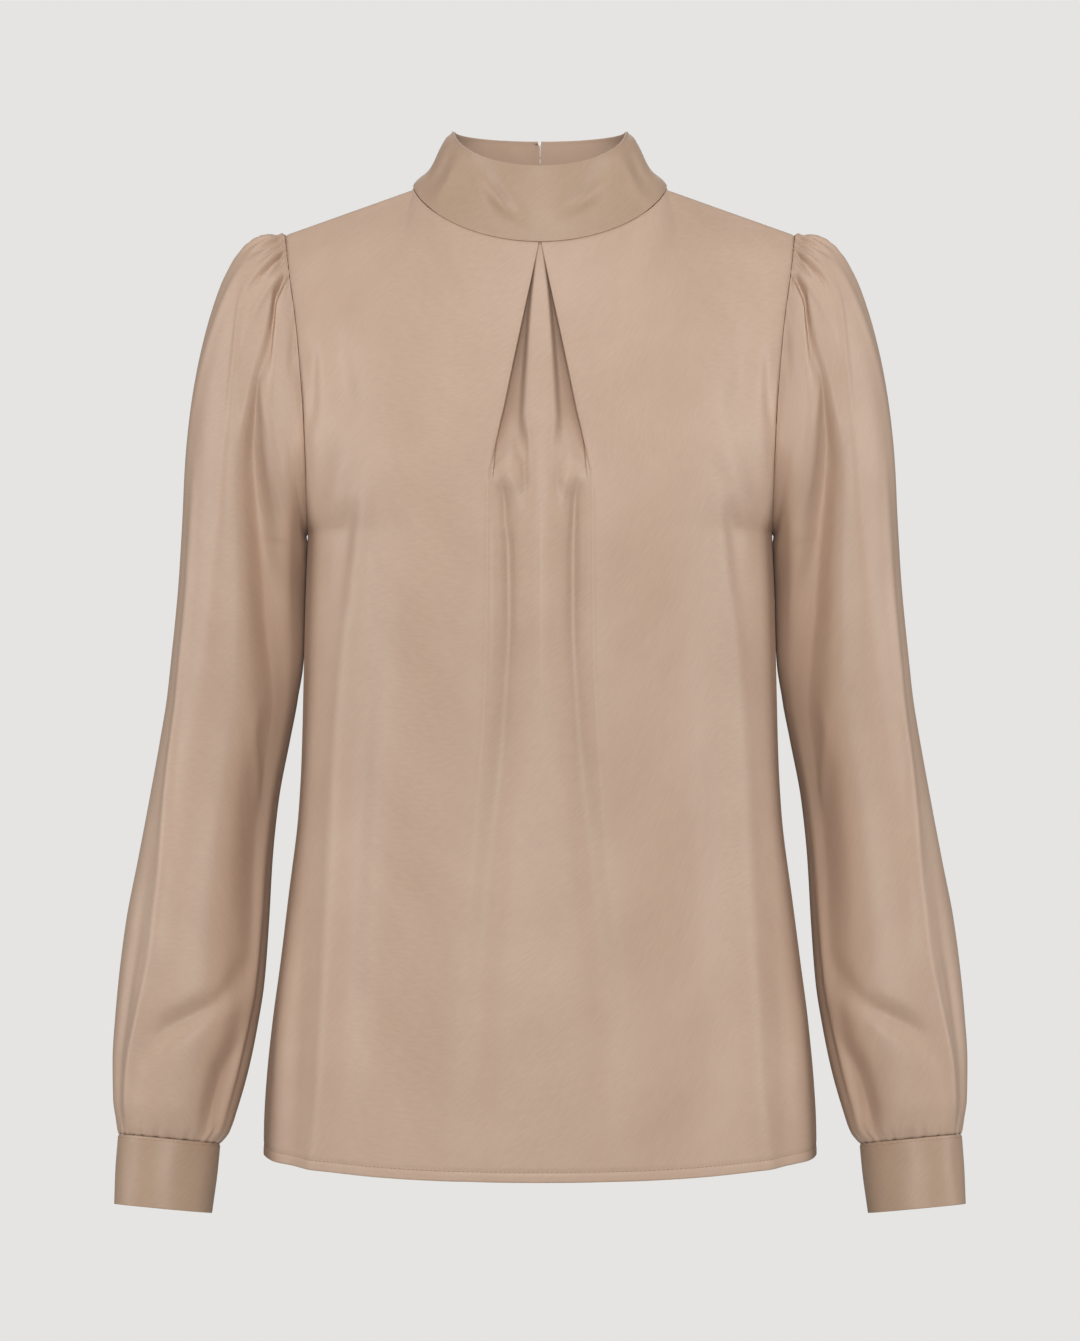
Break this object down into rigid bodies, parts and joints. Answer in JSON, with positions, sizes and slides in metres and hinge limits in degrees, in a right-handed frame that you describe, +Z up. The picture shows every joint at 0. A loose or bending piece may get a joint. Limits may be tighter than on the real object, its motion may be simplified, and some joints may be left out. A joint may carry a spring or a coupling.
{
  "type": "stand-collar blouse",
  "caption": "Long-sleeved stand-collar blouse in satin crepe, filled out as if worn, with a neck pleat, gathered sleeve heads and buttoned cuffs.",
  "frame": {"origin": "middle of the neck, level with the points where the shoulder seams meet the collar, which is where the wearer holds the blouse", "axes": "+X to the wearer's left, -Y out of the front, +Z up"},
  "size_m": [0.5696, 0.2524, 0.7237],
  "materials": {
    "satin_crepe": "satin crepe with a soft, matt sheen",
    "covered_button": "button covered in the same satin crepe",
    "crepe_loop": "turned loop of the same satin crepe"
  },
  "bodies": {
    "root": {"front": "satin_crepe", "back_left": "satin_crepe", "back_right": "satin_crepe", "sleeve_left": "satin_crepe", "sleeve_right": "satin_crepe", "cuff_left": "satin_crepe", "cuff_right": "satin_crepe", "collar": "satin_crepe", "collar_button_1": "covered_button", "collar_button_2": "covered_button", "cuff_button_left": "covered_button", "cuff_button_right": "covered_button", "collar_loop_1": "crepe_loop", "collar_loop_2": "crepe_loop"}
  },
  "joints": []
}
